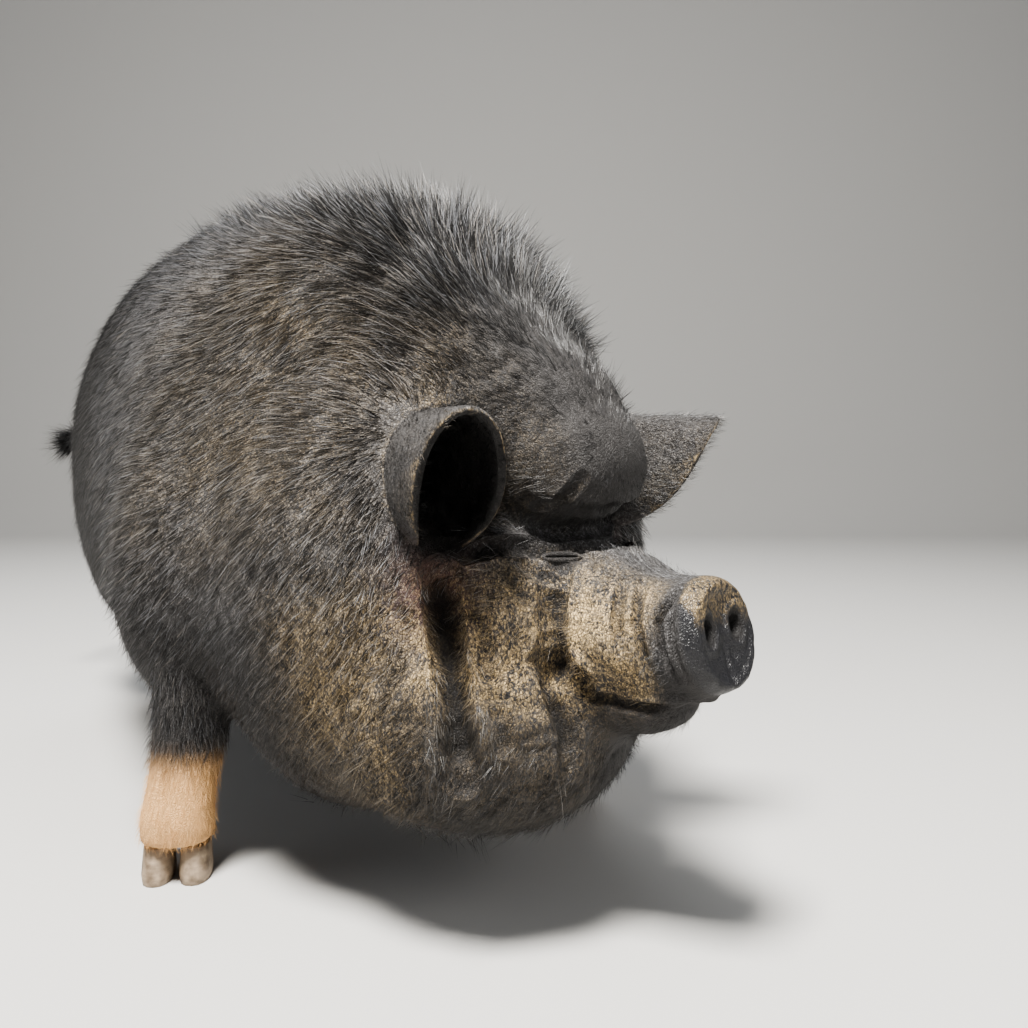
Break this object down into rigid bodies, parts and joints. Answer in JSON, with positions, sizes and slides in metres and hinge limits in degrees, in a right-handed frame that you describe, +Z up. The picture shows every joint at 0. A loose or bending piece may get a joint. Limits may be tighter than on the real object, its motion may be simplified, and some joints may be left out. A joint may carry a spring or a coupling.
{
  "type": "pot-bellied pig",
  "caption": "Still life-size model of a very fat black pot-bellied pig that stands with its head low, with a bristly mane and coat.",
  "frame": {"origin": "middle of the floor under the pig, at the height of its soles", "axes": "+Z up, the pig faces -Y, its left side is +X"},
  "size_m": [0.4858, 1.0864, 0.5803],
  "materials": {
    "hide": "matt black hide under short bristles",
    "snout_skin": "bare moist black skin",
    "leg_skin": "pale dusty skin, dark above the fetlock",
    "horn": "dull pale hoof horn",
    "eyes": "wet dark brown",
    "bristles": "coarse black bristles with tan and grey tips"
  },
  "bodies": {
    "root": {"torso": "hide", "neck": "hide", "head": "hide", "snout_disc": "snout_skin", "ear_right": "hide", "ear_left": "hide", "eye_right": "eyes", "eye_left": "eyes", "tail_root": "hide", "tail_end": "hide", "leg_front_right": "leg_skin", "claw_front_right_first": "horn", "dewclaw_front_right_first": "horn", "claw_front_right_second": "horn", "dewclaw_front_right_second": "horn", "leg_front_left": "leg_skin", "claw_front_left_first": "horn", "dewclaw_front_left_first": "horn", "claw_front_left_second": "horn", "dewclaw_front_left_second": "horn", "leg_hind_right": "leg_skin", "claw_hind_right_first": "horn", "dewclaw_hind_right_first": "horn", "claw_hind_right_second": "horn", "dewclaw_hind_right_second": "horn", "leg_hind_left": "leg_skin", "claw_hind_left_first": "horn", "dewclaw_hind_left_first": "horn", "claw_hind_left_second": "horn", "dewclaw_hind_left_second": "horn"}
  },
  "joints": []
}
